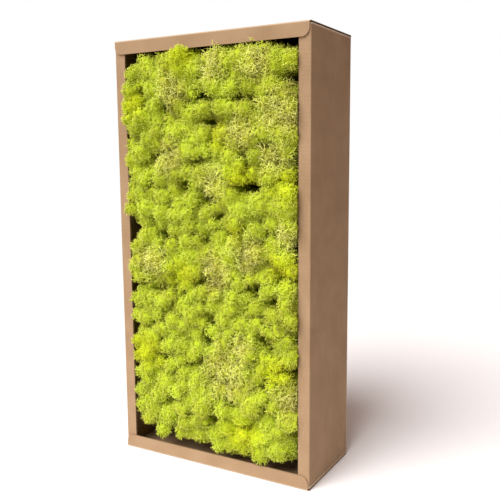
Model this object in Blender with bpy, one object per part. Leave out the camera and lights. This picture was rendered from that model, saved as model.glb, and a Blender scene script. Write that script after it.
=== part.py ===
"""Tray of reindeer moss: tufts packed in a tray of corrugated cardboard that stands on its short end.

Metres, +Z up. The window faces -Y. The origin is the middle of the face that the tray stands on.
"""

import math
import random

import bmesh
import bpy
from mathutils import Vector

MM = 0.001

# The tray's outside, and its board
WIDTH = 204 * MM
DEPTH = 88 * MM
HEIGHT = 400 * MM
BOARD = 3 * MM

# The strips that are folded in round the window. The end strips lie over the side strips
SIDE_STRIP = 11 * MM
END_STRIP = 12.4 * MM
EAR_RADIUS = 8.5 * MM
EAR_STOPS_SHORT = 1 * MM
EAR_STEPS = 6

# The cut ends of the two end walls stand this far proud of the other panels
PROUD = 0.3 * MM
# Panels run this far into each other where they are glued or folded
SUNK = 1.5 * MM

FRONT = -DEPTH / 2
BACK_INSIDE = DEPTH / 2 - BOARD

# The moss: rows of tufts, each tuft in a cell of its own
ROWS = 9
TUFTS_IN_ROW = 4
SEED = 20
JITTER_ACROSS = 8 * MM
JITTER_UP = 11 * MM
DEPTH_JITTER = 3 * MM
EDGE_ROOM = 17 * MM
CLEAR = 0.4 * MM
WINDOW_HALF = WIDTH / 2 - SIDE_STRIP - CLEAR
WINDOW_LOW = END_STRIP + CLEAR
WINDOW_HIGH = HEIGHT - END_STRIP - CLEAR
# The lowest tufts keep off the bottom wall, most of all at the left, where the tray shows empty
BOTTOM_GAPS = (11 * MM, 6 * MM, 1 * MM, 3 * MM)
# The left column is rounded off beside its strip, apart from two tufts that lean out over it
LEFT_GAP = 4 * MM
LEANING_ROWS = (5, 7)
LEAN = 0.3

# One tuft: a round head on stalks that narrow to a foot on the back panel. Shares are of the distance
# from the head's middle to its outline
HEAD_BEHIND_WINDOW = 24 * MM
LOWEST_ROW_BEHIND = 31 * MM
HEAD_FORWARD = (32 * MM, 37 * MM)
HEAD_SIDEWAYS = 41 * MM
HEAD_SQUARENESS = 3
UNEVENNESS = 0.09
FOOT_RADIUS = 9 * MM
FOOT_SIDES = 5
LOBES = 6
LOBE_WIDTH = 0.26
LOBES_REACH = math.radians(52)
GROOVE = 0.78
CORE_SHARE = (0.84, 0.90)
TIP_SHARE = (0.94, 1.05)
FORK_SHARE = (1.07, 1.14)
POINTS_ON_HEAD = 58
HEAD_REACHES = math.radians(74)
TIPS_REACH = math.radians(76)
TIP_LEAN = 0.4
FORKS = 6
FORKS_REACH = math.radians(48)
FORK_INSET = 0.13
FORK_STARTS = 0.98
# Where a neighbour cuts the tuft off, its core stays this much closer to the cut than elsewhere
NEAR_WALL = 0.03
# The rings of the core's points behind the head
BEHIND_HEAD = math.radians(94)
BEHIND_HEAD_SIDES = 11
DOWN_THE_STALKS = math.radians(140)


def clear_scene():
    for thing in list(bpy.data.objects):
        bpy.data.objects.remove(thing, do_unlink=True)


def new_collection(name):
    collection = bpy.data.collections.new(name)
    bpy.context.scene.collection.children.link(collection)
    return collection


def linear(hex_colour):
    """An sRGB hex colour as Blender's linear values."""
    values = [int(hex_colour[i : i + 2], 16) / 255 for i in (1, 3, 5)]
    return [v / 12.92 if v <= 0.04045 else ((v + 0.055) / 1.055) ** 2.4 for v in values] + [1]


def new_material(name, hex_colour, roughness):
    material = bpy.data.materials.new(name)
    material.use_nodes = True
    shader = material.node_tree.nodes["Principled BSDF"]
    shader.inputs["Base Color"].default_value = linear(hex_colour)
    shader.inputs["Roughness"].default_value = roughness
    shader.inputs["Metallic"].default_value = 0
    material.diffuse_color = linear(hex_colour)
    return material


def link_mesh(name, mesh, collection, material=None):
    thing = bpy.data.objects.new(name, mesh)
    collection.objects.link(thing)
    if material:
        mesh.materials.append(material)
    return thing


def add_panel(name, low, high, collection):
    """A flat panel of board between two opposite corners."""
    bm = bmesh.new()
    bmesh.ops.create_cube(bm, size=1)
    low, high = Vector(low), Vector(high)
    bmesh.ops.scale(bm, vec=high - low, verts=bm.verts)
    bmesh.ops.translate(bm, vec=(low + high) / 2, verts=bm.verts)
    mesh = bpy.data.meshes.new(name)
    bm.to_mesh(mesh)
    bm.free()
    return link_mesh(name, mesh, collection)


def end_strip_outline():
    """The strip of an end wall seen from the front: straight at the fold, its free corners rounded."""
    half = WIDTH / 2 - EAR_STOPS_SHORT
    points = [(-half, PROUD), (half, PROUD)]
    for side in (1, -1):
        centre_x = side * (half - EAR_RADIUS)
        for step in range(EAR_STEPS + 1):
            turn = math.pi / 2 * step / EAR_STEPS
            turn = turn if side > 0 else math.pi / 2 - turn
            across = centre_x + side * EAR_RADIUS * math.cos(turn)
            points.append((across, END_STRIP - EAR_RADIUS + EAR_RADIUS * math.sin(turn)))
    return points


def add_end_strip(name, at_top, collection):
    curve = bpy.data.curves.new(name, "CURVE")
    curve.dimensions = "2D"
    curve.fill_mode = "BOTH"
    curve.extrude = BOARD / 2
    points = end_strip_outline()
    spline = curve.splines.new("POLY")
    spline.points.add(len(points) - 1)
    for point, (across, up) in zip(spline.points, points):
        point.co = (across, up, 0, 1)
    spline.use_cyclic_u = True
    guide = bpy.data.objects.new(name + "_outline", curve)
    collection.objects.link(guide)
    guide.rotation_euler = (math.pi / 2, 0, 0)
    guide.location = (0, FRONT + BOARD / 2, 0)
    if at_top:
        guide.rotation_euler = (-math.pi / 2, 0, 0)
        guide.location.z = HEIGHT
    bpy.context.view_layer.update()
    evaluated = guide.evaluated_get(bpy.context.evaluated_depsgraph_get())
    mesh = bpy.data.meshes.new_from_object(evaluated)
    mesh.transform(guide.matrix_world)
    bpy.data.objects.remove(guide, do_unlink=True)
    bm = bmesh.new()
    bm.from_mesh(mesh)
    bmesh.ops.remove_doubles(bm, verts=bm.verts, dist=0.01 * MM)
    bmesh.ops.recalc_face_normals(bm, faces=bm.faces)
    bm.to_mesh(mesh)
    bm.free()
    return link_mesh(name, mesh, collection)


def build_tray(parts, panels, material):
    """The folded blank as one body: its panels and strips, joined where they are folded or glued."""
    half = WIDTH / 2
    side_out = half - PROUD
    side_in = side_out - BOARD
    tray = add_panel("tray", (-half, FRONT + SUNK, 0), (half, DEPTH / 2 - SUNK, BOARD), parts)
    add_panel(
        "top_wall",
        (-half, FRONT + SUNK, HEIGHT - BOARD),
        (half, DEPTH / 2 - SUNK, HEIGHT),
        panels,
    )
    add_panel(
        "back_panel",
        (-side_out, BACK_INSIDE, PROUD),
        (side_out, DEPTH / 2, HEIGHT - PROUD),
        panels,
    )
    for side in (-1, 1):
        xs = sorted((side * side_in, side * side_out))
        add_panel(
            "side_wall",
            (xs[0], FRONT + BOARD, SUNK),
            (xs[1], DEPTH / 2 - SUNK, HEIGHT - SUNK),
            panels,
        )
        xs = sorted((side * (half - SIDE_STRIP), side * (side_out - SUNK)))
        add_panel(
            "side_strip",
            (xs[0], FRONT + BOARD - PROUD, SUNK),
            (xs[1], FRONT + 2 * BOARD - PROUD, HEIGHT - SUNK),
            panels,
        )
    add_end_strip("bottom_strip", False, panels)
    add_end_strip("top_strip", True, panels)
    union = tray.modifiers.new("glue", "BOOLEAN")
    union.operation = "UNION"
    union.operand_type = "COLLECTION"
    union.collection = panels
    union.solver = "EXACT"
    bpy.context.view_layer.update()
    joined = bpy.data.meshes.new_from_object(tray.evaluated_get(bpy.context.evaluated_depsgraph_get()))
    tray.modifiers.clear()
    tray.data = joined
    joined.name = "tray"
    joined.materials.clear()
    joined.materials.append(material)
    for thing in list(panels.objects):
        bpy.data.objects.remove(thing, do_unlink=True)
    return tray


def tuft_centres(draw):
    """The middle of each tuft's head by its row and place: staggered rows, moved a little at random."""
    centres = {}
    row_height = (WINDOW_HIGH - WINDOW_LOW) / ROWS
    spacing = 2 * WINDOW_HALF / TUFTS_IN_ROW
    for row in range(ROWS):
        stagger = spacing / 7 * (1 if row % 2 else -1)
        behind = HEAD_BEHIND_WINDOW if row else LOWEST_ROW_BEHIND
        for place in range(TUFTS_IN_ROW):
            x = -WINDOW_HALF + (place + 0.5) * spacing + stagger
            x += draw.uniform(-JITTER_ACROSS, JITTER_ACROSS)
            x = min(max(x, EDGE_ROOM - WINDOW_HALF), WINDOW_HALF - EDGE_ROOM)
            y = FRONT + behind + draw.uniform(-DEPTH_JITTER, DEPTH_JITTER)
            z = WINDOW_LOW + (row + 0.5) * row_height + draw.uniform(-JITTER_UP, JITTER_UP)
            z = min(max(z, WINDOW_LOW + EDGE_ROOM), WINDOW_HIGH - EDGE_ROOM)
            centres[row, place] = Vector((x, y, z))
    return centres


def window_planes(row, place):
    """The planes that keep a tuft clear of the tray, each as a normal pointing out and a point on it."""
    strip_front = FRONT + BOARD - PROUD
    bottom = WINDOW_LOW + BOTTOM_GAPS[place] if row == 0 else WINDOW_LOW
    planes = [
        ((1, 0, 0), (WINDOW_HALF, 0, 0)),
        ((0, 0, -1), (0, 0, bottom)),
        ((0, 0, 1), (0, 0, WINDOW_HIGH)),
        ((0, 1, 0), (0, BACK_INSIDE - CLEAR, 0)),
    ]
    if row in LEANING_ROWS:
        planes.append(((-1, LEAN, 0), (-WINDOW_HALF, strip_front, 0)))
    else:
        planes.append(((-1, 0, 0), (LEFT_GAP / 2 - WINDOW_HALF, 0, 0)))
        planes.append(((-1, -1, 0), (LEFT_GAP - WINDOW_HALF, strip_front, 0)))
    return planes


def cell_planes(row, place, centres):
    """All the planes round a tuft, as normal and distance: halfway to each neighbour, and the window."""
    centre = centres[row, place]
    planes = []
    for other in centres.values():
        if other is not centre:
            normal = (other - centre).normalized()
            planes.append((normal, normal.dot((centre + other) / 2) - CLEAR / 2))
    for normal, point in window_planes(row, place):
        normal = Vector(normal).normalized()
        planes.append((normal, normal.dot(Vector(point))))
    return planes


def room(centre, way, planes):
    """How far one can go from the centre along a unit direction before leaving the cell."""
    ahead = [(normal, far) for normal, far in planes if normal.dot(way) > 1e-6]
    return min((far - normal.dot(centre)) / normal.dot(way) for normal, far in ahead)


def from_front(way):
    """The angle between a direction and straight out of the window."""
    return math.acos(max(-1, min(1, -way.y)))


def direction(angle, turn):
    """A unit direction by its angle from straight out of the window and its turn about that line."""
    return Vector((math.sin(angle) * math.cos(turn), -math.cos(angle), math.sin(angle) * math.sin(turn)))


def even_directions(count, reach, start):
    """Directions spread as the seeds of a sunflower, evenly as seen from the window."""
    golden = math.pi * (3 - math.sqrt(5))
    ways = []
    for i in range(count):
        across = math.sqrt((i + 0.5) / count) * math.sin(reach)
        ways.append(direction(math.asin(across), start + golden * i))
    return ways


def shaken(way, draw):
    """A direction turned a little at random, so that nothing lies in rows."""
    return (way + Vector([draw.uniform(-UNEVENNESS, UNEVENNESS) for _ in range(3)])).normalized()


def tuft_outline(way, forward, foot_distance, lobes):
    """How far the tuft's tips reach along a direction: a lobed head, then stalks down to the foot."""
    angle = from_front(way)
    if angle > math.pi / 2:
        narrowing = (FOOT_RADIUS - HEAD_SIDEWAYS) / foot_distance
        return HEAD_SIDEWAYS / (math.sin(angle) + narrowing * math.cos(angle))
    nearest = min(way.angle(lobe) for lobe in lobes)
    bulge = math.exp(-((nearest / LOBE_WIDTH) ** 2))
    ahead = (math.cos(angle) / forward) ** HEAD_SQUARENESS
    across = (math.sin(angle) / HEAD_SIDEWAYS) ** HEAD_SQUARENESS
    groove = 1 - (1 - GROOVE) * (1 - bulge) * math.cos(angle)
    return groove / (ahead + across) ** (1 / HEAD_SQUARENESS)


def core_points(forward_start, foot_angle, draw):
    """Directions of the core's points: many over the head, a ring behind it, and two down the stalks."""
    ways = [shaken(way, draw) for way in even_directions(POINTS_ON_HEAD, HEAD_REACHES, forward_start)]
    rings = ((BEHIND_HEAD, BEHIND_HEAD_SIDES), (DOWN_THE_STALKS, FOOT_SIDES), (foot_angle, FOOT_SIDES))
    for angle, sides in rings:
        ways += [direction(angle, forward_start + 2 * math.pi * side / sides) for side in range(sides)]
    return ways


def raise_forks(bm, faces, share):
    """A stub on each face that ends in three tips."""
    shortest = min(edge.calc_length() for face in faces for edge in face.edges)
    bmesh.ops.inset_individual(bm, faces=faces, thickness=shortest * FORK_INSET, depth=0)
    for face in faces:
        for vert in face.verts:
            vert[share] = FORK_STARTS
    stubs = bmesh.ops.poke(bm, faces=faces)
    for vert in stubs["verts"]:
        vert[share] = FORK_STARTS
    return bmesh.ops.poke(bm, faces=stubs["faces"])["verts"]


def build_tuft(name, centre, planes, draw, parts, material):
    """One tuft: a radial shape round its head's middle, with a tip raised on each face of its core."""
    forward = draw.uniform(*HEAD_FORWARD)
    foot_distance = BACK_INSIDE - CLEAR - centre.y
    foot_angle = math.pi - math.atan2(FOOT_RADIUS, foot_distance)
    lobes = even_directions(LOBES, LOBES_REACH, draw.uniform(0, 2 * math.pi))
    lobes = [shaken(way, draw) for way in lobes]

    bm = bmesh.new()
    for way in core_points(draw.uniform(0, 2 * math.pi), foot_angle, draw):
        bm.verts.new(way)
    bmesh.ops.convex_hull(bm, input=bm.verts)
    share = bm.verts.layers.float.new("share")
    for vert in bm.verts:
        vert[share] = draw.uniform(*CORE_SHARE)

    tipped = [face for face in bm.faces if from_front(face.calc_center_median()) < TIPS_REACH]
    forked = [face for face in tipped if from_front(face.calc_center_median()) < FORKS_REACH]
    forked = draw.sample(forked, FORKS)
    tipped = [face for face in tipped if face not in forked]
    for vert in raise_forks(bm, forked, share):
        vert[share] = draw.uniform(*FORK_SHARE)
    for vert in bmesh.ops.poke(bm, faces=tipped)["verts"]:
        vert[share] = draw.uniform(*TIP_SHARE)
        leans_to = draw.choice(vert.link_edges).other_vert(vert)
        vert.co = vert.co.lerp(leans_to.co, draw.uniform(0, TIP_LEAN))

    for vert in bm.verts:
        way = vert.co.normalized()
        if from_front(way) > foot_angle - math.radians(1):
            out = foot_distance / way.y
        else:
            reach = tuft_outline(way, forward, foot_distance, lobes)
            out = min(vert[share] * reach, min(1, vert[share] + NEAR_WALL) * room(centre, way, planes))
        vert.co = centre + way * out
    bmesh.ops.triangulate(bm, faces=bm.faces)
    bmesh.ops.recalc_face_normals(bm, faces=bm.faces)
    mesh = bpy.data.meshes.new(name)
    bm.to_mesh(mesh)
    bm.free()
    return link_mesh(name, mesh, parts, material)


def main():
    clear_scene()
    parts = new_collection("moss_tray")
    panels = new_collection("panels")
    board = new_material("kraft_board", "#B8936F", 0.85)
    greens = [
        new_material("moss_fresh", "#B7C22F", 0.9),
        new_material("moss_pale", "#CBCF58", 0.9),
        new_material("moss_deep", "#A2B026", 0.9),
    ]
    build_tray(parts, panels, board)
    draw = random.Random(SEED)
    centres = tuft_centres(draw)
    for number, (row, place) in enumerate(centres, 1):
        planes = cell_planes(row, place, centres)
        name = f"moss_tuft_{number:02d}"
        build_tuft(name, centres[row, place], planes, draw, parts, draw.choice(greens))
    total = 0
    for thing in parts.objects:
        thing.data.calc_loop_triangles()
        total += len(thing.data.loop_triangles)
    print("nodes", len(parts.objects), "triangles", total)


main()
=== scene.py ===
# %% [markdown]
# # A tray of reindeer moss
#
# Reindeer moss is a lichen. It is sold in shallow cardboard trays, packed so tightly that its round
# heads make one soft carpet in the tray's window. This lesson dresses the plain solids of such a tray:
# folded corrugated board with true flutes, and thousands of small forked sprigs of lichen.

# %% Load the plain solids
import math
import random

import bpy
import numpy as np
from mathutils import Matrix, Vector, noise
from mathutils.bvhtree import BVHTree


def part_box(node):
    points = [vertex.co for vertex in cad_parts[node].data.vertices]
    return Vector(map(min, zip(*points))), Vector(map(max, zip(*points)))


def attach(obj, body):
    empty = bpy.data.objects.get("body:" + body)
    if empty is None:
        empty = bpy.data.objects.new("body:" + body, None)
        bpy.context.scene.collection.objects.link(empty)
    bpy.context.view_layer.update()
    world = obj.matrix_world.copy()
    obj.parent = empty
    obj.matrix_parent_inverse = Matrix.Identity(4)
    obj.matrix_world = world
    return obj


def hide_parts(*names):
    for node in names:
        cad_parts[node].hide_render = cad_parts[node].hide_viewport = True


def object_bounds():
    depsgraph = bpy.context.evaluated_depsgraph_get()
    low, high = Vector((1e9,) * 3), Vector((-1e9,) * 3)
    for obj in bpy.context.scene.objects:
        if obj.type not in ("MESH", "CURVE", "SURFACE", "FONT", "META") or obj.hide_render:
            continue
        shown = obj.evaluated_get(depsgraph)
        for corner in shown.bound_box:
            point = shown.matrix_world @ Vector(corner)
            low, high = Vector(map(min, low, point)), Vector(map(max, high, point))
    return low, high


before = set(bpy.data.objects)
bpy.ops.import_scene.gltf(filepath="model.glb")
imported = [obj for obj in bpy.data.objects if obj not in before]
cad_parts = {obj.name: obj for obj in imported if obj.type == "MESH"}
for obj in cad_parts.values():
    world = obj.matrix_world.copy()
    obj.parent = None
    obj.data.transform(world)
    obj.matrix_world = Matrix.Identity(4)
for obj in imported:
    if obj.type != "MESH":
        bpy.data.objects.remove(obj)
cad_low, cad_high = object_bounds()
MM = 0.001
tray_low, tray_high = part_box("tray")
tuft_names = sorted(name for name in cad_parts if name.startswith("moss_tuft"))
print("tray", [round(v / MM, 1) for v in tray_high - tray_low], "mm, tufts", len(tuft_names))

# %% [markdown]
# Colours are easiest to choose as the hex values that a paint program shows. Blender's shaders count
# in linear light, so one function turns them over. Another adds a node to a material, sets its values
# and links its inputs, so that each material below reads as a list of what it does.

# %% Two helpers for materials
def linear(hex_colour):
    values = [int(hex_colour[i : i + 2], 16) / 255 for i in (1, 3, 5)]
    return [v / 12.92 if v <= 0.04045 else ((v + 0.055) / 1.055) ** 2.4 for v in values] + [1]


def add_node(tree, kind, settings=None, links=None):
    node = tree.nodes.new("ShaderNode" + kind)
    for name, value in (settings or {}).items():
        if isinstance(name, str) and hasattr(node, name):
            setattr(node, name, value)
        else:
            node.inputs[name].default_value = value
    for name, source in (links or {}).items():
        tree.links.new(source, node.inputs[name])
    return node


def new_material(name):
    material = bpy.data.materials.new(name)
    material.use_nodes = True
    return material, material.node_tree, material.node_tree.nodes["Principled BSDF"]


# %% [markdown]
# The camera stands a little above the middle of the tray and to its right, so that the window and one
# long side both show. Its place comes from the six corners of the tray in the photograph: only one
# place and one lens put all six where they are.

# %% Camera
CAMERA_AT = Vector((0.3420, -0.5638, 0.2927))
CAMERA_AZIMUTH = math.radians(29.78)
CAMERA_ELEVATION = math.radians(7.82)
CAMERA_ROLL = math.radians(-0.44)
LENS = 49.6

camera_data = bpy.data.cameras.new("camera")
camera_data.lens = LENS
camera_data.sensor_width = 36
camera = bpy.data.objects.new("camera", camera_data)
bpy.context.scene.collection.objects.link(camera)
back = Vector(
    (
        math.sin(CAMERA_AZIMUTH) * math.cos(CAMERA_ELEVATION),
        -math.cos(CAMERA_AZIMUTH) * math.cos(CAMERA_ELEVATION),
        math.sin(CAMERA_ELEVATION),
    )
)
level = Vector((0, 0, 1)).cross(back).normalized()
turn = Matrix((level, back.cross(level), back)).transposed() @ Matrix.Rotation(CAMERA_ROLL, 3, "Z")
camera.matrix_world = Matrix.Translation(CAMERA_AT) @ turn.to_4x4()
bpy.context.scene.camera = camera
print("camera", [round(v, 3) for v in camera.location], "lens", camera_data.lens)

# %% [markdown]
# The tray stands on a sheet of white paper, a plane so bright that it melts into the background. One
# large soft light hangs high in front, and a weaker one stands low in front, both a little to the left.
# Sun lamps with a wide angle give such light evenly from top to bottom. The room behind looks white to
# the camera, but it gives only a weak fill, so that the tray's long side stays in soft shade and is
# brightest low down, where the paper lights it.

# %% Floor and lights
PAPER_SIZE = 1.5
PAPER_GAP = 0.3 * MM
PAPER_COLOUR = "#F9F9FC"
LIGHTS = {
    "key_softbox": {"azimuth": -14, "elevation": 52, "angle": 44, "strength": 3.3},
    "front_softbox": {"azimuth": -12, "elevation": 26, "angle": 50, "strength": 1.1},
}
LIGHT_COLOUR = "#FFFEFC"
FILL = 0.3
FILL_COLOUR = "#FFE0D0"

bpy.ops.object.select_all(action="DESELECT")
bpy.ops.mesh.primitive_plane_add(size=PAPER_SIZE, location=(0, 0, -PAPER_GAP))
floor = bpy.context.object
floor.name = "white_paper_floor"
bpy.ops.object.transform_apply(location=True, rotation=True, scale=True)
paper, tree, shader = new_material("white_paper")
shader.inputs["Base Color"].default_value = linear(PAPER_COLOUR)
shader.inputs["Roughness"].default_value = 0.9
shader.inputs["Specular IOR Level"].default_value = 0.2
floor.data.materials.append(paper)

for name, light in LIGHTS.items():
    lamp = bpy.data.lights.new(name, "SUN")
    lamp.energy = light["strength"]
    lamp.angle = math.radians(light["angle"])
    lamp.color = linear(LIGHT_COLOUR)[:3]
    stand = bpy.data.objects.new(name, lamp)
    bpy.context.scene.collection.objects.link(stand)
    azimuth, elevation = math.radians(light["azimuth"]), math.radians(light["elevation"])
    towards = Vector(
        (
            math.sin(azimuth) * math.cos(elevation),
            -math.cos(azimuth) * math.cos(elevation),
            math.sin(elevation),
        )
    )
    stand.rotation_euler = towards.to_track_quat("Z", "Y").to_euler()

world = bpy.data.worlds.new("white_room")
world.use_nodes = True
room = world.node_tree
seen = add_node(room, "LightPath").outputs["Is Camera Ray"]
fill = add_node(room, "Background", {"Color": linear(FILL_COLOUR), "Strength": FILL})
white = add_node(room, "Background", {"Color": linear("#FFFFFF"), "Strength": 1})
shown = add_node(room, "MixShader", {}, {0: seen, 1: fill.outputs[0], 2: white.outputs[0]})
room.links.new(shown.outputs[0], room.nodes["World Output"].inputs["Surface"])
bpy.context.scene.world = world
bpy.context.scene.view_settings.view_transform = "Standard"

# %% [markdown]
# Kraft liner is the brown paper on both faces of corrugated board. It is made from long unbleached
# fibres laid down wet on a moving wire, so it is matt, with faint streaks along its length, cloudy
# patches where the pulp lay thicker, and a few dark specks of bark. The glued flutes pull the liner in a
# little between them, which leaves faint lines across the streaks. This is a fine kind of board, 1.6 mm
# thick with narrow flutes. Folds rub pale, and the paler colour along each fold is also a painted
# highlight for the light that a rounded fold catches. The folds are the box's own edges, so the distance
# to the second nearest face of the box tells how near a fold is.

# %% Kraft board
BOARD = 1.6 * MM
FLUTE_PITCH = 3.4 * MM
STREAK_WIDTH = 0.8 * MM
STREAK_LENGTH = 11 * MM
CLOUD = 26 * MM
SPECK_SPACING = 2.4 * MM
WORN_AND_HIGHLIT_FOLD = 1.5 * MM
CLOUD_SHARE = 0.55
STREAK_SHARE = 0.4
FLUTE_RELIEF = 0.03 * MM
FIBRE_RELIEF = 0.06 * MM
KRAFT = "#AB8E70"
KRAFT_DARK = "#977A5D"
KRAFT_SPECK = "#75593F"
# The two fold colours are rubbed paper and also a painted highlight where the folds catch the light.
KRAFT_RUBBED_AND_HIGHLIT = "#C4AC90"
KRAFT_FRAYED_AND_HIGHLIT = "#D8C6B0"


def kraft_liner(name, across, half, rubbed_and_highlit):
    """across is the axis number of the flutes and fibres. half is half the size of the folded box."""
    material, tree, shader = new_material(name)
    place = add_node(tree, "TexCoord").outputs["Object"]
    stretch = [1 / STREAK_WIDTH] * 3
    stretch[across] = 1 / STREAK_LENGTH
    streak_place = add_node(tree, "Mapping", {"Scale": stretch}, {"Vector": place})
    streaks = add_node(tree, "TexNoise", {"Scale": 1, "Detail": 3}, {"Vector": streak_place.outputs[0]})
    clouds = add_node(tree, "TexNoise", {"Scale": 1 / CLOUD, "Detail": 4}, {"Vector": place})
    specks = add_node(tree, "TexVoronoi", {"Scale": 1 / SPECK_SPACING}, {"Vector": place})
    small = add_node(tree, "MapRange", {1: 0.05, 2: 0.11, 3: 1, 4: 0}, {0: specks.outputs["Distance"]})
    rare = add_node(tree, "Math", {"operation": "GREATER_THAN", 1: 0.86}, {0: specks.outputs["Color"]})
    speck = add_node(tree, "Math", {"operation": "MULTIPLY"}, {0: small.outputs[0], 1: rare.outputs[0]})
    cloudy = add_node(tree, "MapRange", {1: 0.32, 2: 0.68}, {0: clouds.outputs["Fac"]})
    streaky = add_node(tree, "MapRange", {1: 0.3, 2: 0.7}, {0: streaks.outputs["Fac"]})
    blend = add_node(tree, "Math", {"operation": "MULTIPLY", 1: CLOUD_SHARE}, {0: cloudy.outputs[0]})
    blend = add_node(
        tree,
        "Math",
        {"operation": "MULTIPLY_ADD", 1: STREAK_SHARE},
        {0: streaky.outputs[0], 2: blend.outputs[0]},
    )
    paper_colour = add_node(
        tree,
        "Mix",
        {"data_type": "RGBA", 6: linear(KRAFT), 7: linear(KRAFT_DARK)},
        {0: blend.outputs[0]},
    )
    specked = add_node(
        tree,
        "Mix",
        {"data_type": "RGBA", 7: linear(KRAFT_SPECK)},
        {0: speck.outputs[0], 6: paper_colour.outputs[2]},
    )
    near_fold = distance_to_fold(tree, place, half)
    # Paler near each fold: wear and a painted highlight.
    worn_and_highlit = add_node(tree, "MapRange", {1: 0.5 * WORN_AND_HIGHLIT_FOLD, 2: WORN_AND_HIGHLIT_FOLD, 3: 0.9, 4: 0}, {0: near_fold})
    colour = add_node(
        tree,
        "Mix",
        {"data_type": "RGBA", 7: linear(rubbed_and_highlit)},
        {0: worn_and_highlit.outputs[0], 6: specked.outputs[2]},
    )
    along = add_node(tree, "SeparateXYZ", {}, {0: place}).outputs[across]
    wave = add_node(tree, "Math", {"operation": "MULTIPLY", 1: 2 * math.pi / FLUTE_PITCH}, {0: along})
    wave = add_node(tree, "Math", {"operation": "SINE"}, {0: wave.outputs[0]})
    flutes = add_node(
        tree, "Bump", {"Strength": 1, "Distance": FLUTE_RELIEF}, {"Height": wave.outputs[0]}
    )
    fuzz = add_node(
        tree,
        "Bump",
        {"Strength": 1, "Distance": FIBRE_RELIEF},
        {"Height": streaks.outputs["Fac"], "Normal": flutes.outputs[0]},
    )
    tree.links.new(colour.outputs[2], shader.inputs["Base Color"])
    tree.links.new(fuzz.outputs[0], shader.inputs["Normal"])
    shader.inputs["Roughness"].default_value = 0.82
    shader.inputs["IOR"].default_value = 1.45
    shader.inputs["Specular IOR Level"].default_value = 0.25
    return material


def distance_to_fold(tree, place, half):
    """How far a point on the box's outside is from the box's nearest edge: the middle one of three."""
    middle = (tray_low + tray_high) / 2
    centred = add_node(tree, "VectorMath", {"operation": "SUBTRACT", 1: middle}, {0: place})
    size = add_node(tree, "VectorMath", {"operation": "ABSOLUTE"}, {0: centred.outputs[0]})
    depth = add_node(tree, "VectorMath", {"operation": "SUBTRACT", 0: half}, {1: size.outputs[0]})
    x, y, z = add_node(tree, "SeparateXYZ", {}, {0: depth.outputs[0]}).outputs
    low = add_node(tree, "Math", {"operation": "MINIMUM"}, {0: x, 1: y})
    high = add_node(tree, "Math", {"operation": "MAXIMUM"}, {0: x, 1: y})
    upper = add_node(tree, "Math", {"operation": "MINIMUM"}, {0: high.outputs[0], 1: z})
    nearest = add_node(tree, "Math", {"operation": "MAXIMUM"}, {0: low.outputs[0], 1: upper.outputs[0]})
    return nearest.outputs[0]


box_half = (tray_high - tray_low) / 2
side_half = box_half - Vector((0, 0, BOARD))
liner_sides = kraft_liner("kraft_liner_sides", across=2, half=side_half, rubbed_and_highlit=KRAFT_FRAYED_AND_HIGHLIT)
liner_ends = kraft_liner("kraft_liner_ends", across=1, half=box_half, rubbed_and_highlit=KRAFT_RUBBED_AND_HIGHLIT)

# %% [markdown]
# The fluted medium between the liners is a coarser, browner paper made of recycled fibre. It is only
# seen edge on, in shade, so a rougher brown with a little grain is enough; it is darker than the paper
# itself, as painted shade of the hollows between the flutes.

# %% Fluting paper
# Both browns are darkened as painted shade of the flute hollows.
FLUTING_WITH_SHADE = "#664A30"
FLUTING_DARK_WITH_SHADE = "#4A3321"
fluting_paper_with_painted_shade, tree, shader = new_material("fluting_paper_with_painted_shade")
place = add_node(tree, "TexCoord").outputs["Object"]
grain = add_node(tree, "TexNoise", {"Scale": 1 / (2 * MM), "Detail": 2}, {"Vector": place})
brown = add_node(
    tree,
    "Mix",
    {"data_type": "RGBA", 6: linear(FLUTING_WITH_SHADE), 7: linear(FLUTING_DARK_WITH_SHADE)},
    {0: grain.outputs["Fac"]},
)
tree.links.new(brown.outputs[2], shader.inputs["Base Color"])
shader.inputs["Roughness"].default_value = 0.95
shader.inputs["Specular IOR Level"].default_value = 0.2

# %% [markdown]
# Folded board is two sheets of liner with flutes between them. A liner starts as a flat plane, its edges
# are extruded round the corners, and a bevel rounds each fold: wider outside, where the paper stretches,
# than inside, where it is creased. A Solidify gives it the thickness of paper. The space between the two
# liners stays hollow, as the flutes leave it.

# %% Fold a sheet of liner
LINER = 0.2 * MM
OUTER_FOLD = 1 * MM
INNER_FOLD = 0.3 * MM
FOLD_STEPS = 5
NEAR = 0.04 * MM
LINER_PLACES = ((0, OUTER_FOLD), (BOARD - LINER, INNER_FOLD))


def pick(thing, *others):
    bpy.ops.object.select_all(action="DESELECT")
    for one in (thing, *others):
        one.select_set(True)
    bpy.context.view_layer.objects.active = thing


def select_edges(thing, chosen):
    """Selects the edges whose two ends both pass the test."""
    bpy.ops.object.mode_set(mode="OBJECT")
    mesh = thing.data
    mesh.polygons.foreach_set("select", [False] * len(mesh.polygons))
    mesh.vertices.foreach_set("select", [False] * len(mesh.vertices))
    for edge in mesh.edges:
        edge.select = all(chosen(mesh.vertices[i].co) for i in edge.vertices)
    bpy.ops.object.mode_set(mode="EDIT")
    bpy.ops.mesh.select_mode(type="EDGE")


def extrude_edges(thing, chosen, move, wider=None):
    select_edges(thing, chosen)
    bpy.ops.mesh.extrude_region_move(TRANSFORM_OT_translate={"value": move})
    if wider:
        bpy.ops.transform.resize(value=wider)


def round_folds(thing, chosen, radius):
    select_edges(thing, chosen)
    bpy.ops.mesh.bevel(offset=radius, segments=FOLD_STEPS)


def add_modifier(thing, kind, **settings):
    """Adds a modifier and applies it at once."""
    bpy.context.view_layer.objects.active = thing
    modifier = thing.modifiers.new(kind.lower(), kind)
    for name, value in settings.items():
        setattr(modifier, name, value)
    bpy.ops.object.modifier_apply(modifier=modifier.name)


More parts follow.
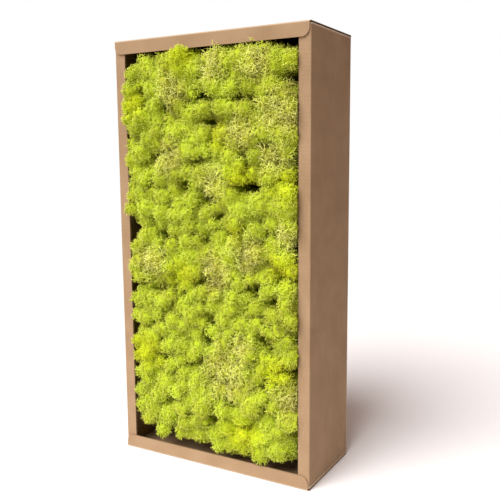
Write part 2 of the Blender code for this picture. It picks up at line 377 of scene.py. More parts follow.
def start_plane(name, middle, size, normal):
    bpy.ops.object.select_all(action="DESELECT")
    turn = Vector(normal).to_track_quat("Z", "Y").to_euler()
    bpy.ops.mesh.primitive_plane_add(size=1, location=middle, rotation=turn)
    thing = bpy.context.object
    thing.name = name
    thing.scale = (size[0], size[1], 1)
    bpy.ops.object.transform_apply(location=True, rotation=True, scale=True)
    return thing


def make_board(name, fold, material):
    """Folds the outer and the inner liner, gives both their thickness and joins them."""
    liners = [fold(name, inset, radius) for inset, radius in LINER_PLACES]
    for liner in liners:
        pick(liner)
        bpy.ops.object.mode_set(mode="EDIT")
        bpy.ops.mesh.select_all(action="SELECT")
        bpy.ops.mesh.normals_make_consistent(inside=False)
        bpy.ops.object.mode_set(mode="OBJECT")
        add_modifier(liner, "SOLIDIFY", thickness=LINER, offset=-1, use_even_offset=True)
    pick(*liners)
    bpy.ops.object.join()
    board = bpy.context.object
    board.data.materials.append(material)
    bpy.ops.object.shade_smooth_by_angle(angle=math.radians(35))
    return board


# %% [markdown]
# The long sides, the back and the two narrow strips beside the window are one sheet, folded four
# times. It stands between the two end walls, and its strips lie one board behind the end strips.

# %% Sides and back
SIDE_INSET = 0.05 * MM
SIDE_STRIP = 11.2 * MM
half_width = tray_high.x
back_y = tray_high.y
side_low = BOARD + NEAR
side_high = tray_high.z - BOARD - NEAR


def fold_sides(name, inset, radius):
    x, back, strip = half_width - SIDE_INSET - inset, back_y - inset, tray_low.y + BOARD + NEAR + inset
    middle = (0, back, (side_low + side_high) / 2)
    sheet = start_plane(name, middle, (2 * x, side_high - side_low), (0, 1, 0))
    for side in (-1, 1):
        extrude_edges(sheet, lambda co: co.x * side > x - NEAR, (0, strip - back, 0))
        extrude_edges(
            sheet,
            lambda co: co.x * side > x - NEAR and co.y < strip + NEAR,
            (-side * (x - half_width + SIDE_STRIP), 0, 0),
        )
    round_folds(
        sheet, lambda co: abs(co.x) > x - NEAR and (co.y < strip + NEAR or co.y > back - NEAR), radius
    )
    bpy.ops.object.mode_set(mode="OBJECT")
    return sheet


sides = make_board("tray_sides_and_back", fold_sides, liner_sides)
print("sides", len(sides.data.polygons), "faces")

# %% [markdown]
# Each end wall carries a wider strip whose two free corners are cut round. The strip is extruded in two
# steps, because its ends stop a millimetre short of the sides from just below the fold. A vertex bevel
# rounds the corners. The top wall is modelled, and the bottom one is its mirror image.

# %% End walls
END_STRIP = 12.4 * MM
EAR_RADIUS = 7 * MM
EAR_SHORT = 1.1 * MM
EAR_START = 1.2 * MM

front_y = tray_low.y
height = tray_high.z


def fold_end(name, inset, radius):
    front, back, top = front_y + inset, back_y - inset, height - inset
    shoulder = height - max(EAR_START, inset + radius + NEAR)
    lip = BOARD - inset
    sheet = start_plane(name, (0, (front + back) / 2, top), (2 * half_width, back - front), (0, 0, 1))
    extrude_edges(
        sheet,
        lambda co: co.y < front + NEAR,
        (0, 0, shoulder - top),
        wider=((half_width - EAR_SHORT) / half_width, 1, 1),
    )
    extrude_edges(sheet, lambda co: co.z < top - NEAR, (0, 0, height - END_STRIP - shoulder))
    bpy.ops.mesh.bevel(offset=EAR_RADIUS, segments=8, affect="VERTICES")
    folds = [front]
    if lip > radius:
        extrude_edges(sheet, lambda co: co.y > back - NEAR, (0, 0, -lip))
        folds.append(back)
    round_folds(
        sheet, lambda co: co.z > top - NEAR and any(abs(co.y - fold) < NEAR for fold in folds), radius
    )
    bpy.ops.object.mode_set(mode="OBJECT")
    return sheet


def mirrored(piece, name):
    """A copy of a piece of the top end, turned over about the tray's middle for the bottom end."""
    other = piece.copy()
    other.data = piece.data.copy()
    other.name = name
    bpy.context.scene.collection.objects.link(other)
    pick(other)
    bpy.ops.object.mode_set(mode="EDIT")
    bpy.ops.mesh.select_all(action="SELECT")
    bpy.ops.transform.mirror(constraint_axis=(False, False, True), center_override=(0, 0, height / 2))
    bpy.ops.mesh.normals_make_consistent(inside=False)
    bpy.ops.object.mode_set(mode="OBJECT")
    return other


top_end = make_board("tray_top_end", fold_end, liner_ends)
bottom_end = mirrored(top_end, "tray_bottom_end")
print("end walls", len(top_end.data.polygons), "faces each")

# %% [markdown]
# The steel rule that punches the strip's round corners crushes the board flat along the cut. So the cut
# shows a plain brown rim and no open flutes. The rim is a sheet of the same kraft with the strip's
# outline, a hair smaller than the liners on each side.

# %% Crushed rims of the end strips
CUT_BACK = 0.1 * MM

rim_width = 2 * (half_width - EAR_SHORT - CUT_BACK)
rim_low = height - END_STRIP + CUT_BACK
rim_high = height - BOARD
rim_middle = (0, front_y + BOARD / 2, (rim_low + rim_high) / 2)
top_rim = start_plane("crushed_rim_top", rim_middle, (rim_width, rim_high - rim_low), (0, 1, 0))
select_edges(top_rim, lambda co: co.z < rim_low + NEAR)
bpy.ops.mesh.bevel(offset=EAR_RADIUS - CUT_BACK, segments=8, affect="VERTICES")
bpy.ops.object.mode_set(mode="OBJECT")
add_modifier(top_rim, "SOLIDIFY", thickness=BOARD - 2 * LINER - NEAR, offset=0)
top_rim.data.materials.append(liner_ends)
bottom_rim = mirrored(top_rim, "crushed_rim_bottom")
print("rims", round(rim_width / MM, 1), "mm wide")

# %% [markdown]
# Corrugated board shows its flutes wherever it is cut cleanly across them: on the ends of the end walls
# and on the edges of the strips beside the window. One wavy ribbon stands in each cut. It starts as a
# flat grid, is bent into a wave by a sine of its length, and gets the thickness of paper.

# %% Fluted medium
MEDIUM = 0.15 * MM
STEPS_PER_FLUTE = 8
WAVE_HEIGHT = (BOARD - 2 * LINER - MEDIUM) / 2


def flute_ribbon(name, start, run, length, into, width, board_normal):
    """A wavy ribbon from start along run, width wide towards into, waving along board_normal."""
    bpy.ops.object.select_all(action="DESELECT")
    steps = max(2, round(length / FLUTE_PITCH * STEPS_PER_FLUTE))
    bpy.ops.mesh.primitive_grid_add(x_subdivisions=steps, y_subdivisions=1, size=1)
    ribbon = bpy.context.object
    ribbon.name = name
    run, into, up = Vector(run), Vector(into), Vector(board_normal)
    for vert in ribbon.data.vertices:
        along = (vert.co.x + 0.5) * length
        wave = WAVE_HEIGHT * math.sin(2 * math.pi * along / FLUTE_PITCH)
        vert.co = Vector(start) + run * along + into * (vert.co.y + 0.5) * width + up * wave
    add_modifier(ribbon, "SOLIDIFY", thickness=MEDIUM, offset=0)
    ribbon.data.materials.append(fluting_paper_with_painted_shade)
    bpy.ops.object.mode_set(mode="EDIT")
    bpy.ops.mesh.select_all(action="SELECT")
    bpy.ops.mesh.normals_make_consistent(inside=False)
    bpy.ops.object.mode_set(mode="OBJECT")
    return ribbon


FLUTE_DEPTH = 9 * MM
STRIP_FLUTE_DEPTH = 3 * MM
ribbons = []
for level_name, z in (("top", height - BOARD / 2), ("bottom", BOARD / 2)):
    for side_name, side in (("left", -1), ("right", 1)):
        wall_end = side * (half_width - CUT_BACK)
        ribbons.append(
            flute_ribbon(
                f"flutes_{level_name}_wall_{side_name}",
                (wall_end, front_y + OUTER_FOLD, z),
                (0, 1, 0),
                back_y - front_y - 2 * OUTER_FOLD,
                (-side, 0, 0),
                FLUTE_DEPTH,
                (0, 0, 1),
            )
        )
for side_name, side in (("left", -1), ("right", 1)):
    ribbons.append(
        flute_ribbon(
            f"flutes_strip_{side_name}",
            (side * (half_width - SIDE_STRIP + CUT_BACK), front_y + 1.5 * BOARD + NEAR, side_low),
            (0, 0, 1),
            side_high - side_low,
            (side, 0, 0),
            STRIP_FLUTE_DEPTH,
            (0, 1, 0),
        )
    )
for piece in [sides, top_end, bottom_end, top_rim, bottom_rim, *ribbons]:
    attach(piece, "root")
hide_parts("tray")
print("flute ribbons", len(ribbons))

# %% [markdown]
# A sprig of this lichen is a hollow stalk that forks again and again into pale tips. Each sprig here
# is built from three-sided tapered twigs: a cone primitive, tilted to its direction, joined to the others.
# There are a few kinds, because one shape repeated would show: fine heads for the dense puffs, open
# forks, and long curved strands for the lacy patches where the heads have broken open.

# %% Model the sprigs
draw = random.Random(7)
TWIG_SIDES = 3


def add_twig(start, end, thick_start, thick_end):
    """One twig as a tapered cone from start to end. A pointed end has no thickness."""
    start, end = Vector(start), Vector(end)
    way = end - start
    bpy.ops.mesh.primitive_cone_add(
        vertices=TWIG_SIDES,
        radius1=thick_start / 2,
        radius2=thick_end / 2,
        depth=way.length,
        location=(start + end) / 2,
        rotation=way.to_track_quat("Z", "Y").to_euler(),
    )
    return bpy.context.object


def tilted(way, angle, spin):
    """A unit direction at an angle from way, turned round it by spin."""
    side = way.orthogonal().normalized()
    side.rotate(Matrix.Rotation(spin, 3, way))
    return (way * math.cos(angle) + side * math.sin(angle)).normalized()


def forked_sprig(stalk, branch, tip, thick, branches, tips, spread):
    """A stalk that divides into branches, each of which divides into pointed tips."""
    twigs = []
    top = Vector((0, 0, stalk))
    twigs.append(((0, 0, 0), top, thick * 1.25, thick))
    for i in range(branches):
        spin = 2 * math.pi * (i + draw.uniform(-0.25, 0.25)) / branches
        way = tilted(Vector((0, 0, 1)), spread * draw.uniform(0.7, 1.2), spin)
        fork = top + way * branch * draw.uniform(0.8, 1.2)
        twigs.append((top - way * thick * 0.2, fork, thick, thick * 0.75))
        for j in range(tips):
            spin = 2 * math.pi * (j + draw.uniform(-0.3, 0.3)) / tips
            tip_way = tilted(way, spread * draw.uniform(0.6, 1.1), spin)
            twigs.append((fork, fork + tip_way * tip * draw.uniform(0.7, 1.3), thick * 0.8, 0))
    return twigs


def curved_strand(length, thick, steps, side_tips):
    """A long bent strand lying nearly flat, with a few short tips along it."""
    twigs = []
    way = tilted(Vector((0, 0, 1)), math.radians(62), draw.uniform(0, 2 * math.pi))
    at = Vector((0, 0, 0))
    curl = draw.uniform(-0.5, 0.5)
    for i in range(steps):
        share = 1 - 0.5 * i / steps
        turned = Matrix.Rotation(curl + draw.uniform(-0.3, 0.3), 3, "Z")
        way = (turned @ way - Vector((0, 0, 0.22))).normalized()
        ahead = at + way * length / steps
        twigs.append((at - way * thick * 0.2, ahead, thick * share, thick * (share - 0.5 / steps)))
        at = ahead
        if i and i <= side_tips:
            tip_way = tilted(way, math.radians(55), draw.uniform(0, 2 * math.pi))
            twigs.append((at, at + tip_way * length * draw.uniform(0.2, 0.35), thick * share * 0.8, 0))
    return twigs


def model_sprig(name, twigs):
    """Joins the twigs and returns the sprig's points, triangles and each point's share of the height."""
    bpy.ops.object.select_all(action="DESELECT")
    parts = [add_twig(*twig) for twig in twigs]
    for part in parts:
        part.select_set(True)
    bpy.ops.object.join()
    sprig = bpy.context.object
    sprig.name = name
    bpy.ops.object.transform_apply(location=True, rotation=True, scale=True)
    add_modifier(sprig, "TRIANGULATE")
    points = np.array([vert.co for vert in sprig.data.vertices])
    faces = np.array([face.vertices for face in sprig.data.polygons])
    bpy.data.objects.remove(sprig)
    reach = np.linalg.norm(points, axis=1)
    return {"points": points, "faces": faces, "tip": reach / reach.max()}


fine_sprigs = [
    model_sprig("fine_sprig", forked_sprig(1.4 * MM, 1.4 * MM, 1.6 * MM, 0.8 * MM, 3, 2, math.radians(40)))
    for _ in range(5)
]
open_sprigs = [
    model_sprig("open_sprig", forked_sprig(2.4 * MM, 3.0 * MM, 2.8 * MM, 0.95 * MM, 3, 2, math.radians(50)))
    for _ in range(4)
]
strands = [
    model_sprig("strand", curved_strand(8 * MM, 1.1 * MM, 4, 3))
    for _ in range(5)
]
print("triangles in a fine sprig", len(fine_sprigs[0]["faces"]), "and a strand", len(strands[0]["faces"]))

# %% [markdown]
# The carpet isn't even. Some patches are broken open and lacy, with pale strands over dark holes, some
# are a fresh green, some lie low and dull between the heads, and here and there a deep gap shows. Each
# patch is a place across and up the window with a radius, in millimetres, and its edge is made ragged by
# noise. Some heads at the window's edge are placed one by one too, because they bulge over the board.

# %% Patches in the carpet
LACY = (
    (9, 370, 13), (55, 370, 13), (-34, 352, 13), (75, 328, 19), (37, 313, 14), (-38, 291, 14),
    (69, 290, 13), (10, 270, 14), (11, 187, 17), (43, 206, 15), (-62, 192, 15), (21, 95, 24),
    (82, 222, 12), (37, 123, 11), (85, 80, 14),
)
FRESH = (
    (20, 310, 13), (81, 268, 14), (-69, 106, 18), (31, 38, 20), (-22, 377, 12), (30, 222, 10),
    (72, 103, 15), (-27, 182, 15), (77, 195, 13), (37, 272, 13), (-76, 340, 14),
)
GAPS = (
    (-69, 352, 5, 4), (-44, 338, 4, 6), (2, 322, 5, 4), (-23, 266, 7, 5), (43, 264, 11, 5),
    (-55, 167, 9, 4), (-27, 165, 6, 4), (69, 165, 7, 5), (0, 123, 6, 5), (56, 130, 5, 7),
    (25, 68, 8, 5), (13, 238, 5, 4), (65, 122, 5, 4), (-94, 308, 9, 8), (-94, 214, 6, 9),
    (-94, 172, 6, 4), (-92, 74, 10, 8), (-87, 385, 13, 9), (-95, 370, 6, 6), (-70, 24, 7, 5),
    (84, 388, 22, 7), (83, 356, 8, 6),
)
# Low patches: they sink, and their sprigs are also darkened in colour as painted shade.
LOW_PATCHES_PAINTED_SHADE = (
    (87, 350, 9), (53, 278, 9), (-26, 265, 9), (17, 244, 8), (-35, 218, 8), (-49, 172, 10),
    (6, 175, 9), (64, 193, 9), (71, 165, 9), (88, 72, 9), (-32, 332, 7), (61, 131, 8), (13, 322, 7),
    (80, 144, 7),
)
EDGE_HEADS = (
    (-24, 382, 7), (-84, 354, 7.5), (-85, 340, 8), (-87, 243, 5.5), (-80, 369, 6), (85, 371, 7),
    (85, 331, 6), (-83, 290, 7), (-83, 255, 6), (-83, 187, 6), (-82, 156, 6.5), (-82, 139, 6),
    (-82, 113, 6.5), (-82, 98, 5.5), (-83, 61, 6), (-83, 46, 6), (-58, 25, 6), (6, 21, 7), (52, 21, 7),
)
RAGGED = 0.45


def patch_share(point, patches):
    """0 outside every patch and 1 in the middle of one. The last number of a patch is its half height."""
    across, up = point.x / MM, point.z / MM
    ragged = RAGGED * noise.noise(point / (9 * MM))
    best = 0
    for patch in patches:
        distance = math.hypot((across - patch[0]) / patch[2], (up - patch[1]) / patch[-1])
        best = max(best, min(1, max(0, 1.6 - distance * 1.15 + ragged)))
    return best


# %% [markdown]
# Under the sprigs each tuft needs a soft body that they stand on. It is a copy of the tuft's plain
# solid: its loose triangles are merged, a voxel remesh melts its spikes, and a smooth rounds them.

# %% Soft bodies of the tufts
BASE_VOXEL = 4 * MM


def tree_of(things):
    """A search tree over several meshes, and the number of the mesh that each face came from."""
    points, faces, owners = [], [], []
    for number, thing in enumerate(things):
        offset = len(points)
        points += [vert.co.copy() for vert in thing.data.vertices]
        faces += [[offset + i for i in face.vertices] for face in thing.data.polygons]
        owners += [number] * len(thing.data.polygons)
    return BVHTree.FromPolygons(points, faces), owners


bodies = []
for name in tuft_names:
    body = bpy.data.objects.new(name + "_moss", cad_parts[name].data.copy())
    bpy.context.scene.collection.objects.link(body)
    pick(body)
    add_modifier(body, "WELD", merge_threshold=0.02 * MM)
    add_modifier(body, "REMESH", mode="VOXEL", voxel_size=BASE_VOXEL)
    add_modifier(body, "SMOOTH", factor=0.5, iterations=3)
    bodies.append(body)
print("faces in a tuft's body", len(bodies[0].data.polygons))

# %% [markdown]
# The lichen's own heads are smaller than a tuft and close the seams between the tufts, so that they read
# as one carpet. To place them, rays from the front measure how far forward the moss reaches on a grid,
# and a blur turns that into one smooth lumpy front. A mask keeps the open ground beside the moss open.

# %% The carpet's smooth front
GRID = 3 * MM
FRONT_BLUR = 9 * MM
EDGE_BLUR = 4 * MM
MOSS_FRONT = -34 * MM
columns = np.arange(-half_width, half_width + GRID / 2, GRID)
rows = np.arange(0, height + GRID / 2, GRID)
carpet, owners = tree_of(bodies)
reach = np.zeros((len(rows), len(columns)))
for i, z in enumerate(rows):
    for j, x in enumerate(columns):
        hit = carpet.ray_cast(Vector((x, cad_low.y - 0.01, z)), Vector((0, 1, 0)))[0]
        if hit and hit.y < MOSS_FRONT:
            reach[i, j] = hit.y


def blurred(grid, width):
    steps = np.arange(-9, 10) * GRID
    kernel = np.exp(-0.5 * (steps / width) ** 2)
    kernel /= kernel.sum()
    for axis in (0, 1):
        grid = np.apply_along_axis(np.convolve, axis, grid, kernel, mode="same")
    return grid


found = (reach < 0).astype(float)
smooth_front = blurred(reach, FRONT_BLUR) / np.maximum(blurred(found, FRONT_BLUR), 1e-6)
mossy = blurred(found, EDGE_BLUR) > 0.45


def grid_value(grid, x, z):
    i = min(len(rows) - 1, max(0, round(z / GRID)))
    j = min(len(columns) - 1, max(0, round((x + half_width) / GRID)))
    return grid[i, j]


print("moss covers", round(mossy.mean(), 2), "of the front, from y", round(reach.min() / MM, 1), "mm")

# %% [markdown]
# A head starts as a ball half sunk in that front. Balls are spread by chance, but none is too near
# another, none stands in a gap, and none reaches over the edge of the moss. Each is joined to the tuft
# that it is nearest to.

# %% Place the heads
HEAD_SPACING = (8.5 * MM, 17 * MM)
HEAD_RADIUS = 0.6
HEAD_PROUD = (1 * MM, 7.5 * MM)
EDGE_HEAD_PROUD = 4 * MM
EDGE_MARGINS = ((0, 0), (0.12, 0), (-0.4, 0), (0, 0.15), (0, -0.5))
HEAD_TOP = 383 * MM
NEAR_GAP = 0.2
TRIES = 12000

chance = random.Random(23)
heads = []
for x, z, radius in EDGE_HEADS:
    radius *= MM
    middle = Vector((x * MM, grid_value(smooth_front, x * MM, z * MM) + radius - EDGE_HEAD_PROUD, z * MM))
    owner = owners[carpet.find_nearest(middle)[2]]
    heads.append((middle, radius, radius / HEAD_RADIUS, owner, chance.random()))
for _ in range(TRIES):
    x, z = chance.uniform(-half_width, half_width), chance.uniform(0, height)
    spacing, proud = chance.uniform(*HEAD_SPACING), chance.uniform(*HEAD_PROUD)
    tone = chance.random()
    if not all(grid_value(mossy, x + spacing * i, z + spacing * j) for i, j in EDGE_MARGINS):
        continue
    radius = spacing * HEAD_RADIUS
    middle = Vector((x, grid_value(smooth_front, x, z) + radius - proud, z))
    if z + radius > HEAD_TOP or patch_share(middle, GAPS) > NEAR_GAP:
        continue
    if any(math.hypot(x - head[0].x, z - head[0].z) < (spacing + head[2]) / 2 for head in heads):
        continue
    owner = owners[carpet.find_nearest(middle)[2]]
    heads.append((middle, radius, spacing, owner, tone))
print("heads", len(heads))

# %% [markdown]
# Each tuft's front is set back a little and its balls are joined to it. A second remesh melts them
# together, and noise makes their skin lumpy. Gaps sink deep, lacy and shady places a little. Whatever
# lies behind the board's front is kept inside the window.

# %% Melt the heads into the tufts
BASE_SET_BACK = 5 * MM
SET_BACK_OVER = 10 * MM
BODY_VOXEL = 2.4 * MM
GAP_DEPTH = 14 * MM
LACY_DEPTH = 3 * MM
SHADY_DEPTH = 5 * MM
LOBE = 5 * MM
LOBE_HEIGHT = 1.6 * MM
BOARD_CLEAR = 0.5 * MM
WINDOW_X = half_width - SIDE_STRIP
WINDOW_LOW = END_STRIP
WINDOW_HIGH = height - END_STRIP

for number, body in enumerate(bodies):
    for vert in body.data.vertices:
        forward = max(0, min(1, (MOSS_FRONT - vert.co.y) / SET_BACK_OVER))
        vert.co.y += BASE_SET_BACK * forward
    balls = []
    for middle, radius, spacing, owner, tone in heads:
        if owner != number:
            continue
        bpy.ops.mesh.primitive_ico_sphere_add(
            subdivisions=3,
            radius=radius,
            location=middle,
            rotation=[chance.uniform(0, math.pi) for _ in range(3)],
        )
        bpy.context.object.scale = [chance.uniform(0.85, 1.15) for _ in range(3)]
        balls.append(bpy.context.object)
    pick(body, *balls)
    bpy.ops.object.join()
    add_modifier(body, "REMESH", mode="VOXEL", voxel_size=BODY_VOXEL)
    add_modifier(body, "SMOOTH", factor=0.5, iterations=1)
    normals = [vert.normal.copy() for vert in body.data.vertices]
    for vert, normal in zip(body.data.vertices, normals):
        gap = patch_share(vert.co, GAPS)
        sunk = GAP_DEPTH * gap + LACY_DEPTH * patch_share(vert.co, LACY)
        sunk += SHADY_DEPTH * patch_share(vert.co, LOW_PATCHES_PAINTED_SHADE)
        lobe = LOBE_HEIGHT * noise.noise(vert.co / LOBE) * (1 - gap)
        vert.co += normal * lobe
        vert.co.y = min(vert.co.y + sunk, back_y - 2 * BOARD)
        if vert.co.y > front_y - BOARD_CLEAR:
            vert.co.x = max(BOARD_CLEAR - WINDOW_X, min(WINDOW_X - BOARD_CLEAR, vert.co.x))
            vert.co.z = max(WINDOW_LOW + BOARD_CLEAR, min(WINDOW_HIGH - BOARD_CLEAR, vert.co.z))
print("faces in a tuft with its heads", len(bodies[0].data.polygons))

# %% [markdown]
# Sprigs grow only where the carpet can be seen. From each candidate point, rays go out through the
# window: one straight out and two rings of six at wider angles. Where none gets away, the place is hidden.

# %% Test whether a place can be seen
LOOKS = [Vector((0, -1, 0))] + [
    Vector((math.sin(a) * math.sin(t), -math.cos(t), math.cos(a) * math.sin(t)))
    for t in (math.radians(38), math.radians(62))
    for a in [2 * math.pi * i / 6 for i in range(6)]
]
RAY_LENGTH = 0.3

carpet, owners = tree_of(bodies)


def leaves_window(point, way):
    """True if a ray clears the moss and the strips round the window."""
    if way.y < 0 and point.y < front_y:
        return carpet.ray_cast(point, way, RAY_LENGTH)[0] is None
    far = (front_y - point.y) / way.y
    through = point + way * far
    if abs(through.x) > WINDOW_X or not WINDOW_LOW < through.z < WINDOW_HIGH:
        return False
    return carpet.ray_cast(point, way, RAY_LENGTH)[0] is None


# %% [markdown]
# The candidate points are spread by chance over each tuft's faces, a large face taking more than a small
# one. Faces deep in the tray can't be seen, so they take none.

# %% Spread candidate points
CANDIDATE_AREA = 0.9 * MM * MM
HIDDEN_BEHIND = -4 * MM


def candidates(core, count_draw):
    """Points with normals, spread evenly over a core's faces by area."""
    mesh = core.data
    mesh.calc_loop_triangles()
    corners = np.array([vert.co for vert in mesh.vertices])[
        np.array([tri.vertices for tri in mesh.loop_triangles])
    ]
    normals = np.array([vert.normal for vert in mesh.vertices])[
        np.array([tri.vertices for tri in mesh.loop_triangles])
    ]
    middle_y = corners[:, :, 1].mean(axis=1)
    areas = np.linalg.norm(
        np.cross(corners[:, 1] - corners[:, 0], corners[:, 2] - corners[:, 0]), axis=1
    ) / 2
    areas[middle_y > HIDDEN_BEHIND] = 0
    total = int(areas.sum() / CANDIDATE_AREA)
    picks = count_draw.choice(len(areas), size=total, p=areas / areas.sum())
    share = count_draw.random((total, 2))
    flip = share.sum(axis=1) > 1
    share[flip] = 1 - share[flip]
    weights = np.column_stack([1 - share.sum(axis=1), share])
    at = (corners[picks] * weights[:, :, None]).sum(axis=1)
    normal = (normals[picks] * weights[:, :, None]).sum(axis=1)
    return at, normal / np.linalg.norm(normal, axis=1)[:, None]


# %% [markdown]
# A point that is too near one already kept is dropped, so that the sprigs stand as evenly as real ones,
# with no clumps and no bald spots. Kept points are filed by small cells of space, so that only the
# neighbours are measured. Lacy places stand wider apart, and the middle of a gap takes none.

# %% Choose where sprigs stand
SPACING_DENSE = 2.1 * MM
SPACING_LACY = 2.6 * MM
SPACING_GAP = 1.5 * MM
RAY_START = 0.5 * MM

numbers = np.random.default_rng(11)
kept = {}
cells = {}
for name, core in zip(tuft_names, bodies):
    kept[name] = []
    for at, normal in zip(*candidates(core, numbers)):
        point, normal = Vector(at), Vector(normal)
        lacy = patch_share(point, LACY)
        gap = patch_share(point, GAPS)
        spacing = SPACING_DENSE + (SPACING_LACY - SPACING_DENSE) * lacy + SPACING_GAP * gap
        cell = tuple(int(v // SPACING_LACY) for v in point)
        near = (
            other
            for i in (-1, 0, 1)
            for j in (-1, 0, 1)
            for k in (-1, 0, 1)
            for other in cells.get((cell[0] + i, cell[1] + j, cell[2] + k), ())
        )
        if gap > 0.5 or any((other - point).length < spacing for other in near):
            continue
        start = point + normal * RAY_START
        if not any(leaves_window(start, way) for way in LOOKS):
            continue
        cells.setdefault(cell, []).append(point)
        kept[name].append((point, normal, lacy))
print("sprigs", sum(len(spots) for spots in kept.values()))

# %% [markdown]
# Lichen is matt and takes its colour from a thin green layer under a pale skin. The tips are the
# palest, because the skin is thickest there, and the stalks turn olive towards the roots: partly the
# lichen's own colour and partly painted shade for the dark deep in the carpet. Preserved moss is dyed a
# vivid yellow green, which takes unevenly, so each sprig has a tone of its own. The colours follow four
# numbers that are stored on the points: how near the tip a point is, the sprig's tone, and how lacy and
# how fresh its patch is.

# %% Dyed lichen
TONE_CLOUD = 17 * MM
# The first, darkest colour of each ramp is partly the lichen's olive stalk and partly painted shade.
DENSE_COLOURS = ((0.0, "#545E0C"), (0.2, "#B0C12C"), (0.5, "#DCE84E"), (1.0, "#F0F876"))
LACY_COLOURS = ((0.0, "#626614"), (0.2, "#BABF42"), (0.5, "#EEF076"), (1.0, "#FCFDA2"))
FRESH_COLOURS = ((0.0, "#62700A"), (0.2, "#BECD1C"), (0.5, "#E2EC36"), (1.0, "#F4F852"))


def colour_ramp(tree, colours, factor):
    ramp = add_node(tree, "ValToRGB", {}, {0: factor})
    elements = ramp.color_ramp.elements
    while len(elements) < len(colours):
        elements.new(0.5)
    for element, (place, colour) in zip(elements, colours):
        element.position = place
        element.color = linear(colour)
    return ramp.outputs[0]


lichen, tree, shader = new_material("dyed_lichen")
growth = add_node(tree, "Attribute", {"attribute_name": "growth"})
tip, tone, lacy = add_node(tree, "SeparateColor", {}, {0: growth.outputs["Color"]}).outputs
fresh = growth.outputs["Alpha"]
dense_colour = colour_ramp(tree, DENSE_COLOURS, tip)
fresh_colour = colour_ramp(tree, FRESH_COLOURS, tip)
lacy_colour = colour_ramp(tree, LACY_COLOURS, tip)
colour = add_node(tree, "Mix", {"data_type": "RGBA"}, {0: fresh, 6: dense_colour, 7: fresh_colour})
colour = add_node(tree, "Mix", {"data_type": "RGBA"}, {0: lacy, 6: colour.outputs[2], 7: lacy_colour})
place = add_node(tree, "TexCoord").outputs["Object"]
cloud = add_node(tree, "TexNoise", {"Scale": 1 / TONE_CLOUD, "Detail": 2}, {"Vector": place})
cloud_tone = add_node(tree, "MapRange", {1: 0.3, 2: 0.7, 3: 0.8, 4: 1.1}, {0: cloud.outputs["Fac"]})
# A tone below zero is painted shade from the low patches and darkens the colour.
sprig_tone = add_node(tree, "MapRange", {1: -1, 2: 1, 3: 0.5, 4: 1.18}, {0: tone})
value = add_node(
    tree, "Math", {"operation": "MULTIPLY"}, {0: cloud_tone.outputs[0], 1: sprig_tone.outputs[0]}
)
hue = add_node(tree, "MapRange", {3: 0.488, 4: 0.510}, {0: tone})
toned = add_node(
    tree,
    "HueSaturation",
    {},
    {"Hue": hue.outputs[0], "Value": value.outputs[0], "Color": colour.outputs[2]},
)
tree.links.new(toned.outputs[0], shader.inputs["Base Color"])
shader.inputs["Roughness"].default_value = 0.9
shader.inputs["Specular IOR Level"].default_value = 0.15

# %% [markdown]
# Every kept point now gets a sprig: a copy of one of the models, turned to grow outwards and a little
# towards the window, spun, scaled and bent by its own random amounts. Copying with arrays keeps this
# quick. One function moves the copies, and another turns the arrays into a mesh with its attribute.

# %% Copy a sprig many times
BEND = 0.25
BEND_OVER = 3 * MM


def grow(sprig, ats, ways, scales):
    """The points of all the copies of one sprig, a row of points for each copy."""
    count = len(ats)
    helper = numbers.normal(size=(count, 3))
    side = np.cross(ways, helper)
    side /= np.linalg.norm(side, axis=1)[:, None]
    other = np.cross(ways, side)
    local = sprig["points"][None] * scales[:, None, None]
    bend = numbers.uniform(0, BEND, count)[:, None] * local[:, :, 2] ** 2 / BEND_OVER
    points = (
        (local[:, :, 0] + bend)[:, :, None] * side[:, None]
        + local[:, :, 1][:, :, None] * other[:, None]
        + local[:, :, 2][:, :, None] * ways[:, None]
        + ats[:, None]
    )
    return points


def write_mesh(name, points, faces, growth_values):
    mesh = bpy.data.meshes.new(name)
    mesh.vertices.add(len(points))
    mesh.vertices.foreach_set("co", points.astype(np.float32).ravel())
    mesh.loops.add(len(faces) * 3)
    mesh.loops.foreach_set("vertex_index", faces.astype(np.int32).ravel())
    mesh.polygons.add(len(faces))
    mesh.polygons.foreach_set("loop_start", np.arange(0, len(faces) * 3, 3, dtype=np.int32))
    mesh.polygons.foreach_set("use_smooth", np.ones(len(faces), bool))
    mesh.update(calc_edges=True)
    mesh.attributes.new("growth", "FLOAT_COLOR", "POINT")
    mesh.attributes["growth"].data.foreach_set("color", growth_values.astype(np.float32).ravel())
    mesh.validate()
    return mesh


# %% [markdown]
# Each tuft is its soft body and all its sprigs as one mesh. Where the patch is lacy, more sprigs are open
# ones and some get a curved strand as well. A sprig takes part of its tone from the head that it stands
# on, so that heads stand apart. In the low shady patches the tone is lowered, and in a gap the soft body
# takes the darkest root colour: both are painted shade. Beside the window a twig that would pierce the
# board is pressed flat against it.

# %% Grow the sprigs
OUTWARD_SPREAD = 0.42
TOWARDS_WINDOW = 0.25
ROOT_DEPTH = 0.9 * MM
STRAND_SHARE = 0.42
EDGE_CLEAR = 0.4 * MM
RIGHT_LEAN = 0.5
OWN_TONE = 0.45
HEAD_TONE = 0.55
BODY_TIP = 0.2
SCALES = (0.85, 1.25)

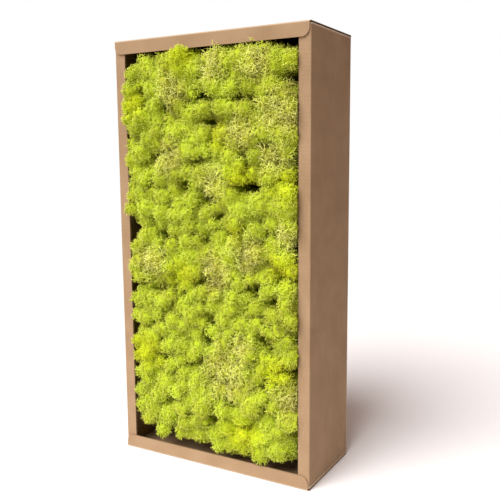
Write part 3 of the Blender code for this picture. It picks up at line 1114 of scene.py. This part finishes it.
head_places = np.array([head[0] for head in heads])
head_tones = np.array([head[4] for head in heads])
total = 0
for name, core in zip(tuft_names, bodies):
    core.data.calc_loop_triangles()
    core_points = np.array([vert.co for vert in core.data.vertices])
    # Painted shade: in a gap the soft body takes the ramp's darkest colour.
    core_growth = np.array(
        [
            (
                BODY_TIP * (1 - patch_share(vert.co, GAPS)),
                0.5,
                patch_share(vert.co, LACY),
                patch_share(vert.co, FRESH),
            )
            for vert in core.data.vertices
        ]
    )
    points = [core_points]
    faces = [np.array([tri.vertices for tri in core.data.loop_triangles])]
    values = [core_growth]
    offset = len(core_points)
    groups = {}
    for spot in kept[name]:
        lacy_here = spot[2]
        chosen = [open_sprigs if numbers.random() < lacy_here else fine_sprigs]
        if numbers.random() < STRAND_SHARE * lacy_here:
            chosen.append(strands)
        for kinds in chosen:
            kind = kinds[numbers.integers(len(kinds))]
            groups.setdefault(id(kind), (kind, []))[1].append(spot)
    for kind, spots in groups.values():
        ats = np.array([spot[0] for spot in spots])
        normals = np.array([spot[1] for spot in spots])
        ways = normals + numbers.normal(size=normals.shape) * OUTWARD_SPREAD
        ways[:, 1] -= TOWARDS_WINDOW
        ways /= np.linalg.norm(ways, axis=1)[:, None]
        scales = numbers.uniform(*SCALES, len(spots))
        grown = grow(kind, ats - normals * ROOT_DEPTH, ways, scales)
        beside = np.abs(grown[:, :, 0]) > WINDOW_X - EDGE_CLEAR
        beside &= grown[:, :, 1] > front_y - EDGE_CLEAR
        pressed = np.clip(grown[:, :, 0], EDGE_CLEAR - WINDOW_X, WINDOW_X - EDGE_CLEAR)
        grown[:, :, 0] = np.where(beside, pressed, grown[:, :, 0])
        flank = WINDOW_X - EDGE_CLEAR + RIGHT_LEAN * np.maximum(0, front_y - grown[:, :, 1])
        grown[:, :, 0] = np.minimum(grown[:, :, 0], flank)
        count, size = len(spots), len(kind["points"])
        nearest = np.linalg.norm(ats[:, None] - head_places[None], axis=2).argmin(axis=1)
        tones_with_painted_shade = OWN_TONE * numbers.random(count) + HEAD_TONE * head_tones[nearest]
        # Painted shade: the low patches lower the tone.
        tones_with_painted_shade -= [patch_share(spot[0], LOW_PATCHES_PAINTED_SHADE) for spot in spots]
        fresh_here = [patch_share(spot[0], FRESH) for spot in spots]
        value = np.zeros((count, size, 4))
        value[:, :, 0] = kind["tip"][None]
        value[:, :, 1] = tones_with_painted_shade[:, None]
        value[:, :, 2] = np.array([spot[2] for spot in spots])[:, None]
        value[:, :, 3] = np.array(fresh_here)[:, None]
        points.append(grown.reshape(-1, 3))
        values.append(value.reshape(-1, 4))
        starts = offset + size * np.arange(count)
        faces.append((kind["faces"][None] + starts[:, None, None]).reshape(-1, 3))
        offset += count * size
    joined = [np.concatenate(arrays) for arrays in (points, faces, values)]
    mesh = write_mesh(name + "_moss", *joined)
    bpy.data.objects.remove(core)
    tuft = bpy.data.objects.new(name + "_moss", mesh)
    bpy.context.scene.collection.objects.link(tuft)
    mesh.materials.append(lichen)
    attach(tuft, "root")
    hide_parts(name)
    total += len(mesh.polygons)
print("triangles in the moss", total)
